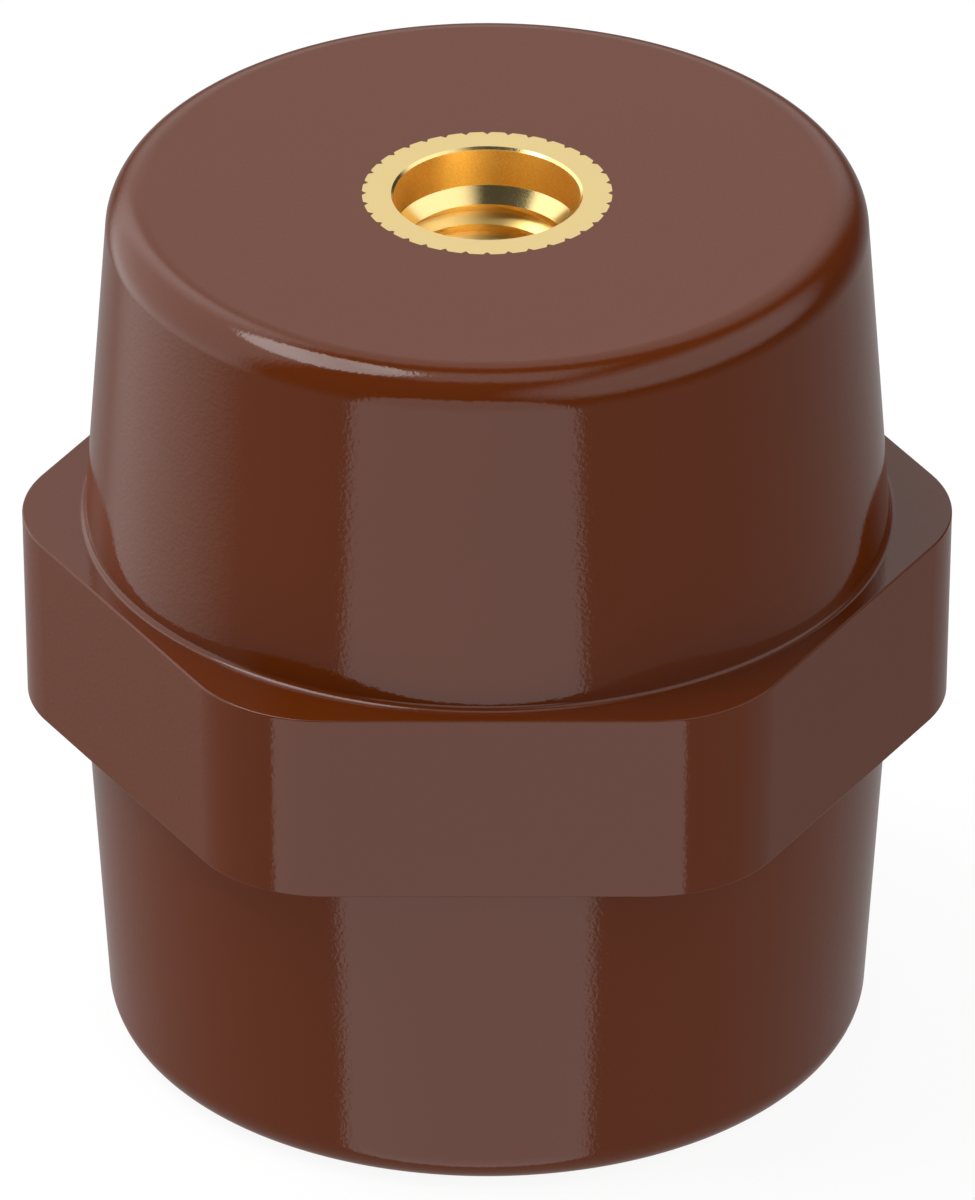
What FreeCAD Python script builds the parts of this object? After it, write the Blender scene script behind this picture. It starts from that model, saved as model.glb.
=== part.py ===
import FreeCAD, Part
import math
import os

from FreeCAD import Vector

# Standoff insulator: a moulded body with a hexagon collar, and a brass insert in each end.
# Units are millimetres, Z is up, and the origin is the centre of the lower end face.

# Moulded body, a pair of drafted cones that meet at the collar
height = 50.0
cone_draft_angle = 3.95  # degrees from the axis
end_edge_radius = 2.2

# Hexagon collar at mid height
collar_height = 11.0
collar_across_flats = 45.4  # at the upper edge, where the mould parts
collar_draft_angle = 1.2  # degrees on each side, so that the lower edge is smaller
collar_corner_radius = 7.8
collar_ledge = 1.05  # from the foot of the cone out to a flat, at the upper edge

# Threaded hole of an insert, M10 with a pitch of 1.25, before the thread is cut
thread_diameter = 10.0
thread_pitch = 1.25
thread_relief = 0.05  # the counterbore clears the thread by this much on the radius
mouth_chamfer = 0.18
counterbore_depth = 2.3
drilled_depth = 13.5  # from the end face to the end of the full diameter
drill_point_angle = 118.0

# Outside of an insert, a knurled head, a groove that holds the plastic, and a plain tail
insert_wall = 1.65  # round the counterbore
insert_floor = 1.9  # past the drill's point
knurl_notch_count = 36
knurl_notch_depth = 0.24
knurl_notch_share = 0.36  # of one pitch of the knurl, at the outside
knurl_length = 7.0
groove_width = 3.0
groove_depth = 0.9
tail_chamfer = 1.0

# Worked out from the sizes above
middle_height = height / 2
collar_top = middle_height + collar_height / 2
collar_bottom = middle_height - collar_height / 2
waist_radius = collar_across_flats / 2 - collar_ledge
end_radius = waist_radius - collar_bottom * math.tan(math.radians(cone_draft_angle))
thread_depth = thread_pitch * 5 / 8 * math.cos(math.radians(30))  # of a metric internal thread
minor_radius = thread_diameter / 2 - thread_depth
counterbore_radius = thread_diameter / 2 + thread_relief
lead_in_end = counterbore_depth + counterbore_radius - minor_radius
point_length = minor_radius / math.tan(math.radians(drill_point_angle / 2))
insert_radius = counterbore_radius + insert_wall
insert_length = drilled_depth + point_length + insert_floor

UP = Vector(0, 0, 1)
ORIGIN = Vector(0, 0, 0)


def at_angle(radius, angle, level=0.0):
    """Point at a radius and an angle in degrees about Z."""
    turn = math.radians(angle)
    return Vector(radius * math.cos(turn), radius * math.sin(turn), level)


def revolved(outline):
    """Solid of revolution about Z from a closed outline of (radius, height) points."""
    corners = [Vector(radius, 0, level) for radius, level in outline]
    wire = Part.makePolygon(corners + [corners[0]])
    return Part.Face(wire).revolve(ORIGIN, UP, 360)


def circles_at(shape, level, radius):
    """Circular edges of a shape that lie at one height and have one radius."""
    return [
        edge
        for edge in shape.Edges
        if isinstance(edge.Curve, Part.Circle)
        and abs(edge.Curve.Center.z - level) < 1e-6
        and abs(edge.Curve.Radius - radius) < 1e-6
    ]


def rounded_hexagon(across_flats, corner_radius, level):
    """Closed wire of a hexagon with rounded corners, with flats towards -Y and +Y."""
    corner_distance = (across_flats / 2 - corner_radius) / math.cos(math.radians(30))
    edges = []
    for corner in range(6):
        angle = 60 * corner
        centre = at_angle(corner_distance, angle, level)
        start = centre + at_angle(corner_radius, angle - 30)
        middle = centre + at_angle(corner_radius, angle)
        end = centre + at_angle(corner_radius, angle + 30)
        next_centre = at_angle(corner_distance, angle + 60, level)
        next_start = next_centre + at_angle(corner_radius, angle + 30)
        edges.append(Part.Arc(start, middle, end).toShape())
        edges.append(Part.makeLine(end, next_start))
    return Part.Wire(edges)


def make_collar():
    """Hexagon collar, tapered towards its lower edge by the mould's draft."""
    inset = collar_height * math.tan(math.radians(collar_draft_angle))
    upper = rounded_hexagon(collar_across_flats, collar_corner_radius, collar_top)
    lower = rounded_hexagon(
        collar_across_flats - 2 * inset, collar_corner_radius - inset, collar_bottom
    )
    return Part.makeLoft([lower, upper], True, True)


def make_knurled_head():
    """Knurled bar from height 0 down, with V notches all round it."""
    pitch_angle = 360 / knurl_notch_count
    half_notch = pitch_angle * knurl_notch_share / 2
    edges = []
    for notch in range(knurl_notch_count):
        angle = notch * pitch_angle
        notch_start = at_angle(insert_radius, angle - half_notch)
        notch_root = at_angle(insert_radius - knurl_notch_depth, angle)
        land_start = at_angle(insert_radius, angle + half_notch)
        land_middle = at_angle(insert_radius, angle + pitch_angle / 2)
        land_end = at_angle(insert_radius, angle + pitch_angle - half_notch)
        edges.append(Part.makeLine(notch_start, notch_root))
        edges.append(Part.makeLine(notch_root, land_start))
        edges.append(Part.Arc(land_start, land_middle, land_end).toShape())
    return Part.Face(Part.Wire(edges)).extrude(UP * -knurl_length)


def make_blank():
    """Outside of one insert with no hole, and with its threaded end up at height 0."""
    groove_radius = insert_radius - groove_depth
    groove_end = knurl_length + groove_width
    barrel = revolved([
        (0, -knurl_length),
        (groove_radius, -knurl_length),
        (groove_radius, -groove_end),
        (insert_radius, -groove_end),
        (insert_radius, tail_chamfer - insert_length),
        (insert_radius - tail_chamfer, -insert_length),
        (0, -insert_length),
    ])
    return make_knurled_head().fuse(barrel).removeSplitter()


def make_hole():
    """Hole of one insert: chamfered counterbore, 45 degree lead-in and a blind drilled end."""
    return revolved([
        (0, 0),
        (counterbore_radius + mouth_chamfer, 0),
        (counterbore_radius, -mouth_chamfer),
        (counterbore_radius, -counterbore_depth),
        (minor_radius, -lead_in_end),
        (minor_radius, -drilled_depth),
        (0, -drilled_depth - point_length),
    ])


def at_top(shape):
    """Copy of an insert's shape moved to the upper end."""
    placed = shape.copy()
    placed.translate(UP * height)
    return placed


def at_bottom(shape):
    """Copy of an insert's shape turned over for the lower end."""
    placed = shape.copy()
    placed.rotate(ORIGIN, Vector(1, 0, 0), 180)
    return placed


def make_body(blank):
    """Moulded body, with its plastic set round the outside of both inserts."""
    cones = revolved([
        (0, 0),
        (end_radius, 0),
        (waist_radius, collar_bottom),
        (waist_radius, collar_top),
        (end_radius, height),
        (0, height),
    ])
    body = cones.fuse(make_collar()).removeSplitter()
    end_edges = circles_at(body, 0, end_radius) + circles_at(body, height, end_radius)
    body = body.makeFillet(end_edge_radius, end_edges)
    return body.cut([at_top(blank), at_bottom(blank)])


def make_parts():
    """Every part of the insulator by its name."""
    blank = make_blank()
    insert = blank.cut(make_hole())
    return {
        "insulator_body": make_body(blank),
        "top_insert": at_top(insert),
        "bottom_insert": at_bottom(insert),
    }


os.makedirs("parts", exist_ok=True)
for name, shape in make_parts().items():
    shape.exportStep(os.path.join("parts", name + ".step"))
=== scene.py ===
"""Looks of a moulded standoff insulator with a brass insert in each end, in metres."""

import logging
import math
from collections.abc import Callable, Sequence
from dataclasses import dataclass
from enum import Enum

import bpy
import bmesh
from mathutils import Matrix, Quaternion, Vector


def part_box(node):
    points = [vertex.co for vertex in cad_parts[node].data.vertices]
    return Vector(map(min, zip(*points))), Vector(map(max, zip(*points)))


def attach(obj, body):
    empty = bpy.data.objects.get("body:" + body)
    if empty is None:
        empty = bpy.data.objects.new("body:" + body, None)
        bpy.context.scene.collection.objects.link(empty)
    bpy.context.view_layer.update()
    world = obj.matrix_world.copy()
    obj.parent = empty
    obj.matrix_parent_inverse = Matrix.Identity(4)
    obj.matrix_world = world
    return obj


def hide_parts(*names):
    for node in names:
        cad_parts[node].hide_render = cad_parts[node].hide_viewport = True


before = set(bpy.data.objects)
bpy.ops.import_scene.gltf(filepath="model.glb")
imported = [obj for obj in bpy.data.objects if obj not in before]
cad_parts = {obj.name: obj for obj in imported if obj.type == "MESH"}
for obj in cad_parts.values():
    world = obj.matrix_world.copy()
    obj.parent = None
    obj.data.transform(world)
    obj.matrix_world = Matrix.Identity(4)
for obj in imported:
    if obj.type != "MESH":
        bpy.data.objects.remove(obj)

MM = 0.001
RING_SIDES = 288
LEVEL_TOLERANCE = 0.004 * MM
DOUBLES_DISTANCE = 0.0002 * MM
UPWARD = 0.99  # height of the unit normal of a face that points up
HEXAGON_SIDES = 6
HEXAGON_TURN = 60.0  # degrees
POCKET_OVERRUN = 1.0 * MM

log = logging.getLogger("insulator")


class End(Enum):
    """End of the insulator that an insert sits in, by the name of its node."""

    TOP = "top_insert"
    BOTTOM = "bottom_insert"


class Pick(Enum):
    """Kind of mesh element to select in edit mode."""

    VERTEX = "VERT"
    EDGE = "EDGE"
    FACE = "FACE"


class Operation(Enum):
    """What a tool does to a piece."""

    UNION = "UNION"
    DIFFERENCE = "DIFFERENCE"


class LampOutline(Enum):
    """Outline of a studio lamp, as the power of its rounded edge."""

    OVAL = 2.0
    ROUNDED = 3.2
    SQUARE = 6.0


def lies_level(edge: bmesh.types.BMEdge, levels: Sequence[float]) -> bool:
    """Tell whether both ends of an edge lie at one of some heights.

    Args:
        edge: The edge.
        levels: The heights.

    Returns:
        Whether they do.
    """
    heights = [vertex.co.z for vertex in edge.verts]
    return any(
        all(abs(height - level) < LEVEL_TOLERANCE for height in heights) for level in levels
    )


def take(piece: bpy.types.Object) -> None:
    """Make one piece the only selected and active object, out of edit mode.

    Args:
        piece: The object to work on.
    """
    if bpy.context.mode != "OBJECT":
        bpy.ops.object.mode_set(mode="OBJECT")
    bpy.ops.object.select_all(action="DESELECT")
    piece.select_set(True)
    bpy.context.view_layer.objects.active = piece


def edit(piece: bpy.types.Object) -> None:
    """Open one piece in edit mode with nothing selected.

    Args:
        piece: The object to open.
    """
    take(piece)
    bpy.ops.object.mode_set(mode="EDIT")
    bpy.ops.mesh.select_all(action="DESELECT")


def pick(piece: bpy.types.Object, kind: Pick, wanted: Callable[..., bool]) -> None:
    """Select only the elements of an open mesh that pass a test of place or normal.

    Args:
        piece: The object that is open in edit mode.
        kind: The kind of element to select.
        wanted: A test that takes one element.
    """
    bpy.ops.mesh.select_mode(type=kind.value)
    bpy.ops.mesh.select_all(action="DESELECT")
    mesh = bmesh.from_edit_mesh(piece.data)
    elements = {Pick.VERTEX: mesh.verts, Pick.EDGE: mesh.edges, Pick.FACE: mesh.faces}[kind]
    for element in elements:
        if wanted(element):
            element.select_set(True)
    mesh.select_flush_mode()
    bmesh.update_edit_mesh(piece.data)


def settle(piece: bpy.types.Object) -> None:
    """Write the object's place into its mesh, and leave the object at the origin.

    Args:
        piece: The object to settle.
    """
    take(piece)
    bpy.ops.object.transform_apply(location=True, rotation=True, scale=True)


def apply_modifier(piece: bpy.types.Object, modifier: bpy.types.Modifier) -> None:
    """Apply one modifier to its mesh.

    Args:
        piece: The object that has the modifier.
        modifier: The modifier to apply.
    """
    take(piece)
    bpy.ops.object.modifier_apply(modifier=modifier.name)


def combine(piece: bpy.types.Object, tool: bpy.types.Object, operation: Operation) -> None:
    """Add a tool's solid to a piece, or cut it away, and drop the tool.

    Args:
        piece: The object that is changed.
        tool: The object that is added or cut away.
        operation: Whether the tool is added or cut away.
    """
    modifier = piece.modifiers.new("combine", "BOOLEAN")
    modifier.operation = operation.value
    modifier.solver = "EXACT"
    modifier.object = tool
    apply_modifier(piece, modifier)
    bpy.data.objects.remove(tool)


def outward(piece: bpy.types.Object) -> None:
    """Merge doubled points and turn every face outwards.

    Args:
        piece: The closed object to tidy.
    """
    edit(piece)
    bpy.ops.mesh.select_all(action="SELECT")
    bpy.ops.mesh.remove_doubles(threshold=DOUBLES_DISTANCE)
    bpy.ops.mesh.normals_make_consistent(inside=False)
    bpy.ops.object.mode_set(mode="OBJECT")


def smooth(piece: bpy.types.Object, angle: float) -> None:
    """Shade a piece smooth up to an angle, with its broad faces kept true.

    Args:
        piece: The object to shade.
        angle: The angle in degrees past which an edge stays sharp.
    """
    take(piece)
    bpy.ops.object.shade_smooth_by_angle(angle=math.radians(angle))
    weighted = piece.modifiers.new("true_normals", "WEIGHTED_NORMAL")
    weighted.keep_sharp = True
    apply_modifier(piece, weighted)


def resize_ring(share: float, level: float) -> None:
    """Resize the selected ring of a turned solid about the axis.

    Args:
        share: The new radius as a share of the old one.
        level: The ring's height.
    """
    bpy.ops.transform.resize(value=(share, share, 1.0), center_override=(0.0, 0.0, level))


def turned(name: str, rings: Sequence[tuple[float, float]]) -> bpy.types.Object:
    """Solid turned about the Z axis, drawn up ring by ring from a cylinder or a point.

    Args:
        name: The object's name.
        rings: The radius and height of each ring from the lowest up. The first may be a point.

    Returns:
        The closed solid, at the origin.
    """
    (start_radius, start), (radius, level) = rings[:2]
    middle = (0.0, 0.0, (start + level) / 2)
    if start_radius == 0.0:
        bpy.ops.mesh.primitive_cone_add(
            vertices=RING_SIDES, radius1=0.0, radius2=radius, depth=level - start, location=middle
        )
    else:
        bpy.ops.mesh.primitive_cylinder_add(
            vertices=RING_SIDES, radius=start_radius, depth=level - start, location=middle
        )
    piece = bpy.context.active_object
    piece.name = name
    settle(piece)
    edit(piece)
    pick(piece, Pick.FACE, lambda face: face.normal.z > UPWARD)
    if start_radius not in (0.0, radius):
        resize_ring(radius / start_radius, level)
    for next_radius, next_level in rings[2:]:
        rise = (0.0, 0.0, next_level - level)
        bpy.ops.mesh.extrude_region_move(TRANSFORM_OT_translate={"value": rise})
        resize_ring(next_radius / radius, next_level)
        radius, level = next_radius, next_level
    bpy.ops.object.mode_set(mode="OBJECT")
    return piece


def round_edges(
    piece: bpy.types.Object,
    wanted: Callable[[bmesh.types.BMEdge], bool],
    radius: float,
    corner: float,
    segments: int,
) -> None:
    """Round the edges that pass a test.

    Args:
        piece: The object to change.
        wanted: A test that takes one edge.
        radius: The radius of the round.
        corner: The angle in degrees between the two faces, measured on the side of the round.
        segments: The number of steps across the round.
    """
    edit(piece)
    pick(piece, Pick.EDGE, wanted)
    bpy.ops.mesh.bevel(
        offset=radius / math.tan(math.radians(corner) / 2),
        offset_type="OFFSET",
        segments=segments,
        profile=0.5,
        affect="EDGES",
    )
    bpy.ops.object.mode_set(mode="OBJECT")


@dataclass(frozen=True)
class MetricThread:
    """Internal thread of an insert."""

    diameter: float = 10.0 * MM
    pitch: float = 1.25 * MM
    flank_slope: float = 45.0
    crest_width: float = 0.17 * MM
    root_width: float = 0.02 * MM
    first_crest_depth: float = 3.25 * MM  # lower edge of the first crest, on the +Y side
    turns: int = 7
    cutter_overlap: float = 0.05 * MM
    run_out: float = 4.0 * MM  # length over which the groove's ends grow shallow

    @property
    def minor_radius(self) -> float:
        """Radius at the crests, which is the drilled hole's."""
        return self.diameter / 2 - self.pitch * 5 / 8 * math.cos(math.radians(30))

    @property
    def root_radius(self) -> float:
        """Radius at the bottom of the groove."""
        rise = (self.pitch - self.crest_width - self.root_width) / 2
        return self.minor_radius + rise / math.tan(math.radians(self.flank_slope))

    def cutter(self) -> bpy.types.Object:
        """Right-handed coil that cuts the groove below an end face at height 0.

        It starts and ends on the -Y side, where the groove runs out.

        Returns:
            The closed coil, at the origin.
        """
        inner = self.minor_radius - self.cutter_overlap
        middle = (inner + self.root_radius) / 2
        flank_rise = self.cutter_overlap * math.tan(math.radians(self.flank_slope))
        mouth_width = self.pitch - self.crest_width
        inner_width = mouth_width + 2 * flank_rise
        top_level = -self.first_crest_depth - mouth_width / 2 + self.pitch / 2
        level = top_level - self.turns * self.pitch
        bpy.ops.mesh.primitive_plane_add(
            size=1.0, location=(middle, 0.0, level), rotation=(math.radians(90), 0.0, 0.0)
        )
        coil = bpy.context.active_object
        coil.name = "thread_cutter"
        settle(coil)
        edit(coil)
        bpy.ops.mesh.select_all(action="SELECT")
        centre = (middle, 0.0, level)
        width = self.root_radius - inner
        bpy.ops.transform.resize(value=(width, 1.0, inner_width), center_override=centre)
        pick(coil, Pick.VERTEX, lambda vertex: vertex.co.x > middle)
        bpy.ops.transform.resize(
            value=(1.0, 1.0, self.root_width / inner_width), center_override=centre
        )
        bpy.ops.mesh.select_all(action="SELECT")
        bpy.ops.mesh.delete(type="ONLY_FACE")
        bpy.ops.object.mode_set(mode="OBJECT")
        wind = coil.modifiers.new("wind", "SCREW")
        wind.screw_offset = self.pitch
        wind.iterations = self.turns
        wind.steps = RING_SIDES // 2
        wind.render_steps = RING_SIDES // 2
        apply_modifier(coil, wind)
        coil.rotation_euler = (0.0, 0.0, math.radians(-90))
        settle(coil)
        edit(coil)
        bpy.ops.mesh.select_mode(type="EDGE")
        bpy.ops.mesh.select_non_manifold()
        bpy.ops.transform.translate(
            value=(0.0, width, 0.0),
            use_proportional_edit=True,
            use_proportional_connected=True,
            proportional_edit_falloff="LINEAR",
            proportional_size=self.run_out,
        )
        bpy.ops.mesh.fill_holes(sides=0)
        outward(coil)
        return coil


@dataclass
class KnurledInsert:
    """Brass insert, modelled with its threaded end up at height 0."""

    radius: float
    length: float
    thread: MetricThread
    mouth_chamfer: float = 0.14 * MM
    counterbore_depth: float = 2.3 * MM
    lead_in_depth: float = 0.8 * MM
    drilled_depth: float = 13.5 * MM
    drill_point_angle: float = 118.0
    notches: int = 36
    notch_depth: float = 0.24 * MM
    notch_share: float = 0.36
    notch_bar_reach: float = 0.6 * MM
    knurl_length: float = 7.0 * MM
    groove_width: float = 3.0 * MM
    groove_depth: float = 0.9 * MM
    tail_chamfer: float = 1.0 * MM
    sharp_angle: float = 25.0

    @property
    def bore_radius(self) -> float:
        """Radius of the counterbore."""
        return self.thread.diameter / 2

    @property
    def lead_in(self) -> tuple[float, float]:
        """Depths of the upper and lower edge of the lead-in cone under the counterbore."""
        return self.counterbore_depth, self.counterbore_depth + self.lead_in_depth

    def notch_cutter(self) -> bpy.types.Object:
        """Ring of diamond bars that cut the V notches of the knurl.

        Returns:
            The bars as one object, at the origin.
        """
        half_angle = math.radians(360 / self.notches * self.notch_share / 2)
        rise = self.radius * math.sin(half_angle)
        run = self.radius * math.cos(half_angle) - (self.radius - self.notch_depth)
        reach = self.notch_bar_reach
        below = self.groove_width / 4
        above = self.groove_width / 2
        bar_length = self.knurl_length + below + above
        centre = (
            self.radius - self.notch_depth + reach,
            0.0,
            -self.knurl_length - below + bar_length / 2,
        )
        bpy.ops.mesh.primitive_cube_add(
            size=1.0, location=centre, rotation=(0.0, 0.0, math.radians(45))
        )
        bars = bpy.context.active_object
        bars.name = "notch_cutter"
        settle(bars)
        edit(bars)
        bpy.ops.mesh.select_all(action="SELECT")
        diagonal = math.sqrt(2)
        bpy.ops.transform.resize(
            value=(diagonal * reach, diagonal * reach * rise / run, bar_length),
            center_override=centre,
        )
        bpy.ops.mesh.spin(
            steps=self.notches - 1,
            dupli=True,
            angle=math.radians(360 - 360 / self.notches),
            center=(0.0, 0.0, 0.0),
            axis=(0.0, 0.0, 1.0),
        )
        outward(bars)
        return bars

    def blank(self, overrun: float = 0.0) -> bpy.types.Object:
        """Outside of the insert with no hole.

        Args:
            overrun: How far the knurled head goes on above height 0, for a cutting tool.

        Returns:
            The closed solid, at the origin.
        """
        groove_end = -self.knurl_length - self.groove_width
        groove_radius = self.radius - self.groove_depth
        piece = turned(
            "insert_blank",
            [
                (self.radius - self.tail_chamfer, -self.length),
                (self.radius, self.tail_chamfer - self.length),
                (self.radius, groove_end),
                (groove_radius, groove_end),
                (groove_radius, -self.knurl_length),
                (self.radius, -self.knurl_length),
                (self.radius, overrun),
            ],
        )
        combine(piece, self.notch_cutter(), Operation.DIFFERENCE)
        return piece

    def hole_cutter(self) -> bpy.types.Object:
        """Drill with the counterbore, the lead-in and the mouth chamfer.

        Returns:
            The closed cutting tool, at the origin.
        """
        minor = self.thread.minor_radius
        bore = self.bore_radius
        mouth = bore + self.mouth_chamfer
        point = minor / math.tan(math.radians(self.drill_point_angle / 2))
        return turned(
            "hole_cutter",
            [
                (0.0, -self.drilled_depth - point),
                (minor, -self.drilled_depth),
                (minor, -self.lead_in[1]),
                (bore, -self.lead_in[0]),
                (bore, -self.mouth_chamfer),
                (mouth, 0.0),
                (mouth, self.counterbore_depth),
            ],
        )

    def build(self) -> bpy.types.Object:
        """Whole insert, which both ends are copied from.

        Returns:
            The closed solid, at the origin.
        """
        piece = self.blank()
        combine(piece, self.hole_cutter(), Operation.DIFFERENCE)
        combine(piece, self.thread.cutter(), Operation.DIFFERENCE)
        outward(piece)
        smooth(piece, self.sharp_angle)
        return piece

    def place(self, model: bpy.types.Object, end: End, height: float) -> bpy.types.Object:
        """Copy a model of the insert, or of its outside, to one end of the insulator.

        Args:
            model: The object to copy, with its own mesh.
            end: The end that the copy goes to.
            height: The insulator's height.

        Returns:
            The copy, with its place in its mesh.
        """
        copy = model.copy()
        copy.data = model.data.copy()
        copy.name = end.value + "_dressed"
        bpy.context.scene.collection.objects.link(copy)
        if end is End.TOP:
            copy.location = (0.0, 0.0, height)
        else:
            copy.rotation_euler = (math.radians(180), 0.0, 0.0)
        settle(copy)
        return copy


@dataclass
class MouldedBody:
    """Moulded body, a pair of drafted cones that meet at a hexagon collar."""

    height: float
    across_flats: float
    cone_draft: float = 3.95
    end_edge_radius: float = 2.2 * MM
    collar_height: float = 11.0 * MM
    collar_draft: float = 1.2
    corner_radius: float = 7.8 * MM
    ledge: float = 1.05 * MM
    root_radius: float = 0.35 * MM
    collar_edge_radius: float = 0.1 * MM
    end_round_steps: int = 16
    corner_steps: int = 30
    root_steps: int = 5
    collar_edge_steps: int = 3
    ledge_edge_angle: float = 60.0
    sharp_angle: float = 38.0

    @property
    def collar_top(self) -> float:
        """Height of the collar's upper ledge."""
        return (self.height + self.collar_height) / 2

    @property
    def collar_bottom(self) -> float:
        """Height of the collar's lower ledge."""
        return (self.height - self.collar_height) / 2

    @property
    def waist_radius(self) -> float:
        """Radius of both cones where they meet the collar."""
        return self.across_flats / 2 - self.ledge

    @property
    def end_radius(self) -> float:
        """Radius of both cones at the end faces, before the edges are rounded."""
        return self.waist_radius - self.collar_bottom * math.tan(math.radians(self.cone_draft))

    def cones(self) -> bpy.types.Object:
        """Both cones with their rounded end edges.

        Returns:
            The closed solid, at the origin.
        """
        piece = turned(
            "moulded_body_dressed",
            [
                (self.end_radius, 0.0),
                (self.waist_radius, self.collar_bottom),
                (self.waist_radius, self.collar_top),
                (self.end_radius, self.height),
            ],
        )
        corner = 90 + self.cone_draft
        round_edges(piece, self.is_end_edge, self.end_edge_radius, corner, self.end_round_steps)
        return piece

    def is_end_edge(self, edge: bmesh.types.BMEdge) -> bool:
        """Tell whether an edge runs round one of the end faces."""
        return lies_level(edge, (0.0, self.height))

    def collar(self) -> bpy.types.Object:
        """Hexagon collar, drawn corner by corner from one upright edge.

        Returns:
            The closed solid, at the origin.
        """
        inset = self.collar_height * math.tan(math.radians(self.collar_draft))
        flat_distance = self.across_flats / 2 - self.corner_radius
        corner_distance = flat_distance / math.cos(math.radians(HEXAGON_TURN / 2))
        start_heading = self.heading(-HEXAGON_TURN / 2)
        start = Vector((corner_distance, 0.0, 0.0)) + self.corner_radius * start_heading
        bpy.ops.mesh.primitive_plane_add(
            size=self.collar_height,
            location=(start.x, start.y, self.height / 2),
            rotation=(math.radians(90), 0.0, 0.0),
        )
        piece = bpy.context.active_object
        piece.name = "collar"
        settle(piece)
        edit(piece)
        pick(piece, Pick.VERTEX, lambda vertex: vertex.co.x < start.x)
        bpy.ops.mesh.delete(type="VERT")
        bpy.ops.mesh.select_all(action="SELECT")
        bpy.ops.transform.translate(value=(-self.collar_height / 2, 0.0, 0.0))
        pick(piece, Pick.VERTEX, lambda vertex: vertex.co.z < self.height / 2)
        bpy.ops.transform.translate(value=-inset * start_heading)
        bpy.ops.mesh.select_all(action="SELECT")
        flat_length = corner_distance
        for corner in range(HEXAGON_SIDES):
            turn = HEXAGON_TURN * corner
            bpy.ops.mesh.spin(
                steps=self.corner_steps,
                angle=math.radians(HEXAGON_TURN),
                center=corner_distance * self.heading(turn),
                axis=(0.0, 0.0, -1.0),
            )
            run = flat_length * self.heading(turn + 2 * HEXAGON_TURN)
            bpy.ops.mesh.extrude_region_move(TRANSFORM_OT_translate={"value": run})
        bpy.ops.mesh.select_all(action="SELECT")
        bpy.ops.mesh.remove_doubles(threshold=LEVEL_TOLERANCE)
        bpy.ops.mesh.select_mode(type="EDGE")
        bpy.ops.mesh.select_non_manifold()
        bpy.ops.mesh.fill_holes(sides=0)
        outward(piece)
        return piece

    @staticmethod
    def heading(angle: float) -> Vector:
        """Level unit vector at an angle in degrees from the X axis."""
        return Vector((math.cos(math.radians(angle)), math.sin(math.radians(angle)), 0.0))

    def is_ledge_edge(self, edge: bmesh.types.BMEdge) -> bool:
        """Tell whether an edge bounds one of the collar's ledges."""
        on_ledge = lies_level(edge, (self.collar_bottom, self.collar_top))
        return on_ledge and edge.calc_face_angle(0.0) > math.radians(self.ledge_edge_angle)

    def is_root(self, edge: bmesh.types.BMEdge) -> bool:
        """Tell whether an edge lies where a cone meets the collar."""
        return self.is_ledge_edge(edge) and not self.is_rim(edge)

    def is_rim(self, edge: bmesh.types.BMEdge) -> bool:
        """Tell whether an edge lies on the collar's own outline."""
        middle = (edge.verts[0].co + edge.verts[1].co) / 2
        return self.is_ledge_edge(edge) and middle.xy.length > self.waist_radius + self.ledge / 3

    def build(self, pockets: Sequence[bpy.types.Object]) -> bpy.types.Object:
        """Whole body, with its plastic set round the outside of the inserts.

        Args:
            pockets: The outsides of the inserts, standing a little out of the end faces.

        Returns:
            The closed solid, at the origin.
        """
        piece = self.cones()
        combine(piece, self.collar(), Operation.UNION)
        outward(piece)
        corner = 90 + self.cone_draft
        round_edges(piece, self.is_root, self.root_radius, corner, self.root_steps)
        round_edges(piece, self.is_rim, self.collar_edge_radius, 90, self.collar_edge_steps)
        for pocket in pockets:
            combine(piece, pocket, Operation.DIFFERENCE)
        outward(piece)
        smooth(piece, self.sharp_angle)
        return piece


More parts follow.
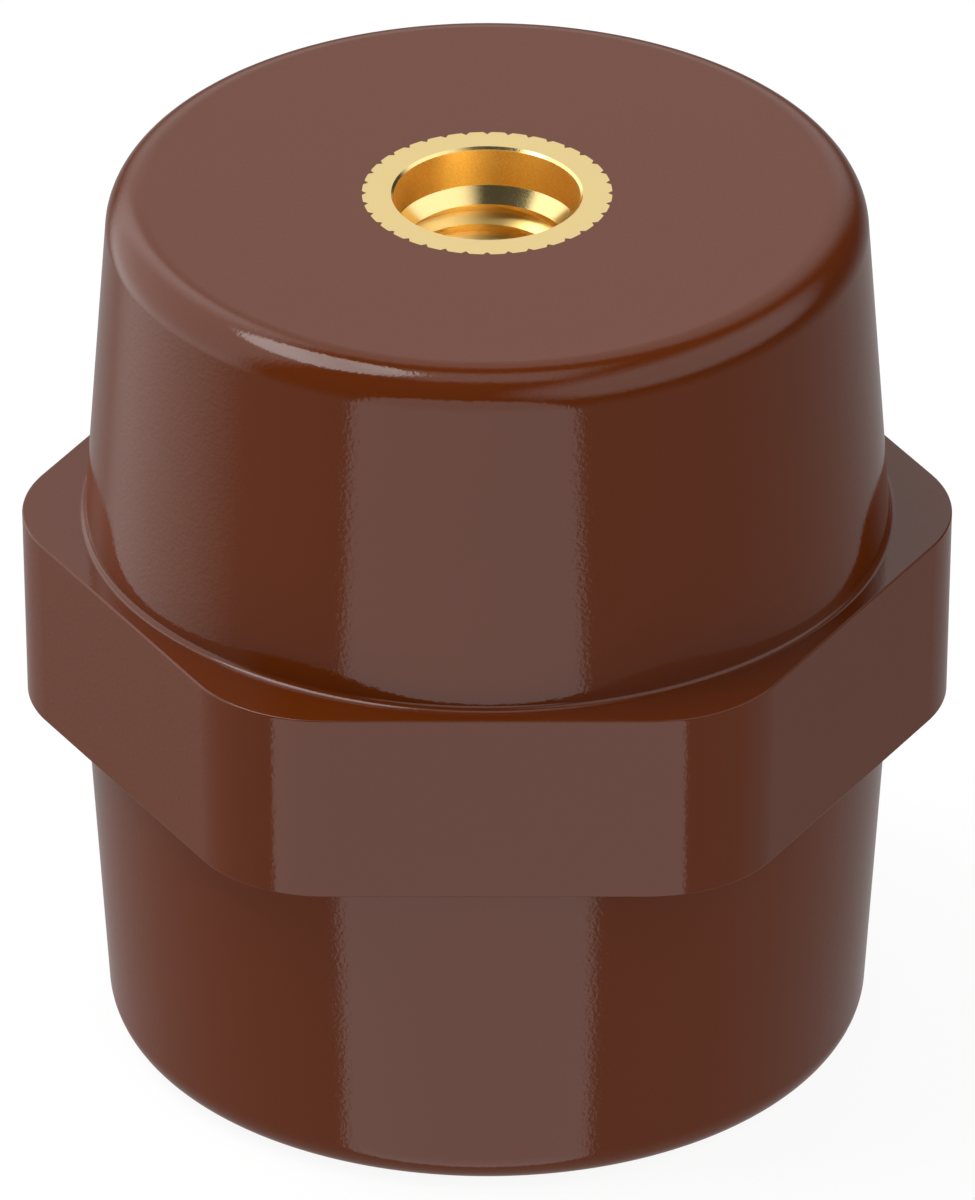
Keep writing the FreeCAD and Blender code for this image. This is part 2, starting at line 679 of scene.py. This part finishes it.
class Graph:
    """Node graph that is being drawn, of a material, a lamp, a group or the world."""

    def __init__(self, tree: bpy.types.NodeTree) -> None:
        """Start on an empty tree.

        Args:
            tree: The node tree to fill.
        """
        self.tree = tree
        self.tree.nodes.clear()

    def add(self, kind: str, **settings: object) -> bpy.types.Node:
        """Add a node.

        Args:
            kind: The node's type.
            settings: Its properties by name.

        Returns:
            The new node.
        """
        node = self.tree.nodes.new(kind)
        for name, value in settings.items():
            setattr(node, name, value)
        return node

    def feed(self, node: bpy.types.Node, **values: object) -> bpy.types.Node:
        """Set or link a node's inputs, named with an underscore for each space.

        Args:
            node: The node to feed.
            values: A number, a colour or another node's output for each input.

        Returns:
            The same node.
        """
        for name, value in values.items():
            self.put(node.inputs[name.replace("_", " ")], value)
        return node

    def put(self, socket: bpy.types.NodeSocket, value: object) -> None:
        """Link an output to an input, or set the input to a constant.

        Args:
            socket: The input.
            value: The output or the constant.
        """
        if isinstance(value, bpy.types.NodeSocket):
            self.tree.links.new(value, socket)
        else:
            socket.default_value = value

    def math(self, operation: str, *terms: object) -> bpy.types.NodeSocket:
        """Combine numbers with one mathematical operation.

        Args:
            operation: The operation's name.
            terms: Numbers or outputs.

        Returns:
            The result.
        """
        node = self.add("ShaderNodeMath", operation=operation)
        for socket, term in zip(node.inputs, terms):
            self.put(socket, term)
        return node.outputs[0]

    def ramp(
        self, value: bpy.types.NodeSocket, low: float, high: float, start: float, end: float
    ) -> bpy.types.NodeSocket:
        """Move a value smoothly from one range to another.

        Args:
            value: The value to change.
            low: The value that gives the start.
            high: The value that gives the end.
            start: The result at the low value.
            end: The result at the high value.

        Returns:
            The result.
        """
        node = self.add("ShaderNodeMapRange", interpolation_type="SMOOTHSTEP")
        self.feed(node, Value=value, From_Min=low, From_Max=high, To_Min=start, To_Max=end)
        return node.outputs["Result"]

    def blend(self, share: object, first: object, second: object) -> bpy.types.NodeSocket:
        """Blend two colours.

        Args:
            share: The share of the second colour, a number or an output.
            first: A colour or an output.
            second: A colour or an output.

        Returns:
            The blended colour.
        """
        node = self.add("ShaderNodeMix", data_type="RGBA")
        for name, value in (("Factor_Float", share), ("A_Color", first), ("B_Color", second)):
            socket = next(entry for entry in node.inputs if entry.identifier == name)
            if not isinstance(value, bpy.types.NodeSocket) and name != "Factor_Float":
                value = (*value, 1.0)
            self.put(socket, value)
        return next(entry for entry in node.outputs if entry.identifier == "Result_Color")

    def end(self, kind: str, surface: bpy.types.NodeSocket) -> None:
        """Send the finished light or surface to an output node.

        Args:
            kind: The output node's type.
            surface: The output to send.
        """
        self.feed(self.add(kind), Surface=surface)


class SurfaceVariation:
    """Shared effect, broad and fine unevenness of a surface."""

    NAME = "surface_variation"
    SOCKETS = (
        ("Vector", "INPUT", "Vector"),
        ("Broad Scale", "INPUT", "Float"),
        ("Fine Scale", "INPUT", "Float"),
        ("Broad", "OUTPUT", "Float"),
        ("Fine", "OUTPUT", "Float"),
    )
    BROAD_DETAIL = 3.0
    FINE_DETAIL = 2.0

    @classmethod
    def group(cls) -> bpy.types.NodeTree:
        """Node group of the effect, drawn once.

        Returns:
            The group.
        """
        if cls.NAME in bpy.data.node_groups:
            return bpy.data.node_groups[cls.NAME]
        tree = bpy.data.node_groups.new(cls.NAME, "ShaderNodeTree")
        graph = Graph(tree)
        for name, way, kind in cls.SOCKETS:
            tree.interface.new_socket(name, in_out=way, socket_type="NodeSocket" + kind)
        given = graph.add("NodeGroupInput").outputs
        result = graph.add("NodeGroupOutput")
        for name, detail in (("Broad", cls.BROAD_DETAIL), ("Fine", cls.FINE_DETAIL)):
            noise = graph.add("ShaderNodeTexNoise")
            scale = given[name + " Scale"]
            graph.feed(noise, Vector=given["Vector"], Scale=scale, Detail=detail)
            graph.put(result.inputs[name], noise.outputs["Fac"])
        return tree


class FinishGraph(Graph):
    """Node graph of a material whose surface is a little uneven."""

    UNEVEN = (0.3, 0.7)  # values of the fine noise from the glossiest place to the dullest
    SPECK = (0.4, 0.6)  # values of the fine noise from a dark speck to a light one

    def __init__(
        self, name: str, broad_scale: float, fine_scale: float, bump_height: float
    ) -> None:
        """Start on a new material.

        Args:
            name: The material's name.
            broad_scale: The scale of the broad noise.
            fine_scale: The scale of the fine noise.
            bump_height: The height of the fine unevenness.
        """
        self.material = bpy.data.materials.new(name)
        self.material.use_nodes = True
        super().__init__(self.material.node_tree)
        self.place = self.add("ShaderNodeTexCoord").outputs["Object"]
        variation = self.add("ShaderNodeGroup", node_tree=SurfaceVariation.group())
        self.feed(variation, Vector=self.place, Broad_Scale=broad_scale, Fine_Scale=fine_scale)
        self.broad, self.fine = (variation.outputs[name] for name in ("Broad", "Fine"))
        bump = self.add("ShaderNodeBump")
        self.feed(bump, Height=self.fine, Distance=bump_height)
        self.normal = bump.outputs["Normal"]

    def uneven_gloss(self, roughness: float, change: float) -> bpy.types.NodeSocket:
        """Roughness that rises a little with the fine noise."""
        return self.ramp(self.fine, *self.UNEVEN, roughness, roughness + change)

    def specks(self) -> bpy.types.NodeSocket:
        """Mask of small light specks."""
        return self.ramp(self.fine, *self.SPECK, 0.0, 1.0)

    def principled(self, **values: object) -> bpy.types.Material:
        """Close the graph with a Principled shader on the uneven surface.

        Args:
            values: A constant or an output for each of the shader's inputs.

        Returns:
            The material.
        """
        shader = self.add("ShaderNodeBsdfPrincipled")
        self.feed(shader, Normal=self.normal, **values)
        self.end("ShaderNodeOutputMaterial", shader.outputs["BSDF"])
        return self.material


@dataclass(frozen=True)
class MouldedPlastic:
    """Glossy brown moulding."""

    colour: tuple[float, float, float] = (0.119, 0.0226, 0.0031)
    colour_change: float = 0.03
    roughness: float = 0.05
    roughness_change: float = 0.03
    ior: float = 1.44
    broad_scale: float = 90.0
    fine_scale: float = 4500.0
    bump_height: float = 0.007 * MM
    sheen: float = 0.06
    sheen_roughness: float = 0.4
    sheen_tint: tuple[float, float, float] = (1.0, 0.19, 0.026)

    def material(self) -> bpy.types.Material:
        """Draw the finish.

        Returns:
            The material.
        """
        graph = FinishGraph(
            "moulded_plastic", self.broad_scale, self.fine_scale, self.bump_height
        )
        darker = [part * (1 - self.colour_change) for part in self.colour]
        lighter = [part * (1 + self.colour_change) for part in self.colour]
        return graph.principled(
            Base_Color=graph.blend(graph.broad, darker, lighter),
            Roughness=graph.uneven_gloss(self.roughness, self.roughness_change),
            IOR=self.ior,
            Sheen_Weight=self.sheen,
            Sheen_Roughness=self.sheen_roughness,
            Sheen_Tint=(*self.sheen_tint, 1.0),
        )


@dataclass(frozen=True)
class TurnedBrass:
    """Turned brass, polished on its faces and chamfers and duller in the bore, whose wall and
    thread colours are a painted reflection of light bounced about inside it.
    """

    middle_height: float
    bore_radius: float
    lead_in: tuple[float, float]  # depths of its upper and lower edge
    colour: tuple[float, float, float] = (1.0, 0.76, 0.335)
    # Deeper orange colours for the bore: painted reflection of the light bounced about inside it,
    # not the brass's own colour.
    dark_painted_wall_reflection: tuple[float, float, float] = (1.0, 0.6, 0.15)
    light_painted_wall_reflection: tuple[float, float, float] = (1.0, 0.76, 0.28)
    painted_thread_reflection: tuple[float, float, float] = (1.0, 0.7, 0.24)
    colour_change: float = 0.02
    roughness: float = 0.12
    wall_roughness: float = 0.36
    thread_roughness: float = 0.28
    roughness_change: float = 0.08
    margin: float = 0.02 * MM
    broad_scale: float = 300.0
    fine_scale: float = 12000.0
    bump_height: float = 0.0001 * MM

    def material(self) -> bpy.types.Material:
        """Draw the finish.

        Returns:
            The material.
        """
        graph = FinishGraph("turned_brass", self.broad_scale, self.fine_scale, self.bump_height)
        wall, thread = self.bore_masks(graph)
        darker = [part * (1 - self.colour_change) for part in self.colour]
        bright = graph.blend(graph.broad, darker, self.colour)
        # Speckled painted reflection on the counterbore's wall.
        speckled_painted_reflection = graph.blend(graph.specks(), self.dark_painted_wall_reflection, self.light_painted_wall_reflection)
        rough = graph.uneven_gloss(self.roughness, self.roughness_change)
        for mask, duller in ((wall, self.wall_roughness), (thread, self.thread_roughness)):
            rise = graph.math("MULTIPLY", mask, duller - self.roughness)
            rough = graph.math("ADD", rough, rise)
        # The counterbore's wall takes the painted reflection in place of the brass colour.
        outer = graph.blend(wall, bright, speckled_painted_reflection)
        # The thread takes a painted reflection colour in place of the brass colour.
        colour = graph.blend(thread, outer, self.painted_thread_reflection)
        return graph.principled(Base_Color=colour, Metallic=1.0, Roughness=rough)

    def bore_masks(self, graph: FinishGraph) -> tuple[bpy.types.NodeSocket, bpy.types.NodeSocket]:
        """Masks of the counterbore's wall and of the thread below the lead-in, which get the
        painted reflection colours and the duller roughness.

        Args:
            graph: The material's graph.

        Returns:
            The wall's and the thread's mask.
        """
        split = graph.add("ShaderNodeSeparateXYZ")
        graph.feed(split, Vector=graph.place)
        sides = (split.outputs["X"], split.outputs["Y"])
        squares = [graph.math("MULTIPLY", side, side) for side in sides]
        radius = graph.math("SQRT", graph.math("ADD", *squares))
        within = graph.math("LESS_THAN", radius, self.bore_radius + self.margin / 2)
        from_middle = graph.math("SUBTRACT", split.outputs["Z"], self.middle_height)
        depth = graph.math("SUBTRACT", self.middle_height, graph.math("ABSOLUTE", from_middle))
        upper, lower = self.lead_in
        wall = graph.math("LESS_THAN", depth, upper - self.margin)
        thread = graph.math("GREATER_THAN", depth, lower + self.margin)
        return graph.math("MULTIPLY", within, wall), graph.math("MULTIPLY", within, thread)


@dataclass(frozen=True)
class StudioLamp:
    """Soft panel lamp, placed by the direction in which the insulator sees it."""

    name: str
    azimuth: float  # degrees, 0 in front of the insulator and 90 to its right
    elevation: float
    across: tuple[float, float]  # from its left to its right edge, for a lamp at distance 1
    upward: tuple[float, float]  # from its lower to its upper edge
    radiance: float
    softness: float
    outline: LampOutline
    roll: float = 0.0  # degrees, turned counter-clockwise as the insulator sees it
    distance: float = 3.0

    def build(self, aim: Vector) -> bpy.types.Object:
        """Hang the lamp.

        Args:
            aim: The middle of the insulator.

        Returns:
            The lamp.
        """
        azimuth, elevation = math.radians(self.azimuth), math.radians(self.elevation)
        towards = Vector(
            (
                math.cos(elevation) * math.sin(azimuth),
                -math.cos(elevation) * math.cos(azimuth),
                math.sin(elevation),
            )
        )
        level = Vector((math.cos(azimuth), math.sin(azimuth), 0.0))
        turn = Quaternion(towards, math.radians(-self.roll))
        right = turn @ level
        up = turn @ towards.cross(level)
        share_across = sum(self.across) / 2
        share_up = sum(self.upward) / 2
        grown = self.distance * (1 + self.softness)
        data = bpy.data.lights.new(self.name, "AREA")
        data.shape = "RECTANGLE"
        data.size = (self.across[1] - self.across[0]) * grown
        data.size_y = (self.upward[1] - self.upward[0]) * grown
        data.energy = self.radiance * math.pi * data.size * data.size_y
        self.fade(data)
        lamp = bpy.data.objects.new(self.name, data)
        bpy.context.scene.collection.objects.link(lamp)
        lamp.location = aim + self.distance * (towards + share_across * right + share_up * up)
        lamp.rotation_euler = Matrix((right, up, towards)).transposed().to_euler()
        lamp.visible_camera = False
        return lamp

    def fade(self, data: bpy.types.Light) -> None:
        """Fade the lamp's light out towards its edge.

        Args:
            data: The lamp's data.
        """
        data.use_nodes = True
        graph = Graph(data.node_tree)
        place = graph.add("ShaderNodeNewGeometry").outputs["Parametric"]
        split = graph.add("ShaderNodeSeparateXYZ")
        graph.feed(split, Vector=place)
        power = self.outline.value
        parts = []
        for axis in ("X", "Y"):
            centred = graph.math("SUBTRACT", split.outputs[axis], 0.5)
            offset = graph.math("ABSOLUTE", centred)
            share = graph.math("MULTIPLY", offset, 2 * (1 + self.softness))
            parts.append(graph.math("POWER", share, power))
        reach = graph.math("POWER", graph.math("ADD", *parts), 1 / power)
        strength = graph.ramp(reach, 1 - self.softness, 1 + self.softness, 1.0, 0.0)
        glow = graph.add("ShaderNodeEmission")
        graph.feed(glow, Strength=strength)
        graph.end("ShaderNodeOutputLight", glow.outputs["Emission"])


@dataclass(frozen=True)
class Studio:
    """Pale floor, soft lamps and dim room."""

    middle: Vector
    floor_half_size: float = 0.7
    floor_depth: float = 0.02 * MM
    floor_colour: float = 0.1
    floor_glow: float = 0.915
    room_above: float = 0.05
    room_below: float = 0.33
    room_fade: tuple[float, float] = (-0.41, 0.07)  # heights on the unit sphere
    lamps: tuple[StudioLamp, ...] = (
        StudioLamp("front_panel", -6.7, -31.5, (-0.6, 0.6), (-0.834, 1.19), 1.16, 0.06,
                   LampOutline.ROUNDED, roll=-0.4),
        StudioLamp("left_panel", -112.5, 13.6, (-0.751, 0.853), (-0.769, 1.218), 1.35, 0.28,
                   LampOutline.SQUARE, roll=-5.0),
        StudioLamp("key_lamp", -78.0, 60.0, (-0.375, 0.218), (-0.245, 0.385), 4.8, 0.09,
                   LampOutline.OVAL, roll=-9.0),
        StudioLamp("right_oval", 67.0, 44.4, (-0.985, 0.95), (-0.66, 0.265), 1.2, 0.42,
                   LampOutline.ROUNDED, roll=1.7),
        StudioLamp("back_panel", -176.6, 28.6, (-0.595, 0.56), (-0.455, 0.665), 0.77, 0.46,
                   LampOutline.SQUARE, roll=4.4),
        StudioLamp("back_strip", 180.0, 61.0, (-0.32, 0.32), (-0.085, 0.085), 0.26, 0.5,
                   LampOutline.SQUARE),
        StudioLamp("overhead_lamp", 5.0, 86.0, (-0.3, 0.27), (-0.285, 0.185), 1.2, 0.45,
                   LampOutline.SQUARE, roll=6.1),
    )

    def build(self) -> None:
        """Set up the floor, the lamps and the room."""
        self.floor()
        for lamp in self.lamps:
            lamp.build(self.middle)
        self.room()

    def floor(self) -> bpy.types.Object:
        """Pale floor that the insulator stands on, seen by the camera alone.

        Returns:
            The floor.
        """
        bpy.ops.mesh.primitive_plane_add(
            size=2 * self.floor_half_size, location=(0.0, 0.0, -self.floor_depth)
        )
        floor = bpy.context.active_object
        floor.name = "floor"
        for way in ("visible_diffuse", "visible_glossy", "visible_shadow"):
            setattr(floor, way, False)
        made = bpy.data.materials.new("pale_floor")
        made.use_nodes = True
        graph = Graph(made.node_tree)
        matt = graph.add("ShaderNodeBsdfDiffuse")
        graph.feed(matt, Color=(self.floor_colour,) * 3 + (1.0,))
        glow = graph.add("ShaderNodeEmission")
        seen = graph.add("ShaderNodeLightPath").outputs["Is Camera Ray"]
        graph.feed(glow, Strength=graph.math("MULTIPLY", seen, self.floor_glow))
        both = graph.add("ShaderNodeAddShader")
        graph.put(both.inputs[0], matt.outputs[0])
        graph.put(both.inputs[1], glow.outputs[0])
        graph.end("ShaderNodeOutputMaterial", both.outputs[0])
        floor.data.materials.append(made)
        return floor

    def room(self) -> None:
        """Dim room, darker above the insulator than below it, and white to the camera."""
        world = bpy.data.worlds.new("room")
        bpy.context.scene.world = world
        world.use_nodes = True
        graph = Graph(world.node_tree)
        split = graph.add("ShaderNodeSeparateXYZ")
        graph.feed(split, Vector=graph.add("ShaderNodeTexCoord").outputs["Generated"])
        height = split.outputs["Z"]
        dim = graph.ramp(height, *self.room_fade, self.room_below, self.room_above)
        seen = graph.add("ShaderNodeLightPath").outputs["Is Camera Ray"]
        strength = graph.math("MAXIMUM", dim, seen)
        background = graph.add("ShaderNodeBackground")
        graph.feed(background, Color=(1.0, 1.0, 1.0, 1.0), Strength=strength)
        graph.end("ShaderNodeOutputWorld", background.outputs[0])


@dataclass(frozen=True)
class PhotoCamera:
    """Camera at the photograph's angle."""

    elevation: float = 29.91
    distance: float = 1.8
    lens_for_metre: float = 557.1
    aim_right: float = 0.020 * MM
    aim_down: float = 0.097 * MM

    def build(self, middle: Vector) -> bpy.types.Object:
        """Set the camera up.

        Args:
            middle: The middle of the insulator.

        Returns:
            The camera.
        """
        elevation = math.radians(self.elevation)
        towards = Vector((0.0, -math.cos(elevation), math.sin(elevation)))
        up = Vector((0.0, math.sin(elevation), math.cos(elevation)))
        aim = middle + Vector((self.aim_right, 0.0, 0.0)) - self.aim_down * up
        data = bpy.data.cameras.new("photo_camera")
        data.lens = self.lens_for_metre * self.distance
        data.clip_start = self.distance / 10
        data.clip_end = self.distance * 10
        camera = bpy.data.objects.new("photo_camera", data)
        bpy.context.scene.collection.objects.link(camera)
        camera.location = aim + self.distance * towards
        camera.rotation_euler = (-towards).to_track_quat("-Z", "Y").to_euler()
        bpy.context.scene.camera = camera
        return camera


def finish_piece(
    piece: bpy.types.Object, material: bpy.types.Material, node: str
) -> None:
    """Give a piece its finish, and let it stand for its node.

    Args:
        piece: The finished object.
        material: The finish.
        node: The name of the node that it stands for.
    """
    piece.data.materials.clear()
    piece.data.materials.append(material)
    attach(piece, "root")
    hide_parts(node)
    log.info("%s: %d faces", piece.name, len(piece.data.polygons))


def main() -> None:
    """Build the insulator, its finishes and the studio."""
    logging.basicConfig(level=logging.INFO, format="%(message)s")
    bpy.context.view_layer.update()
    body_low, body_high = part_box("insulator_body")
    insert_low, insert_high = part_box(End.TOP.value)
    height = body_high.z
    insert = KnurledInsert(
        radius=(insert_high.x - insert_low.x) / 2,
        length=insert_high.z - insert_low.z,
        thread=MetricThread(),
    )
    body = MouldedBody(height=height, across_flats=body_high.y - body_low.y)

    outside = insert.blank(overrun=POCKET_OVERRUN)
    pockets = [insert.place(outside, end, height) for end in End]
    bpy.data.objects.remove(outside)
    finish_piece(
        body.build(pockets), MouldedPlastic().material(), "insulator_body"
    )
    brass = TurnedBrass(height / 2, insert.bore_radius, insert.lead_in).material()
    model = insert.build()
    for end in End:
        finish_piece(insert.place(model, end, height), brass, end.value)
    bpy.data.objects.remove(model)

    middle = Vector((0.0, 0.0, height / 2))
    Studio(middle).build()
    PhotoCamera().build(middle)
    bpy.context.scene.view_settings.view_transform = "Standard"


if __name__ == "__main__":
    main()
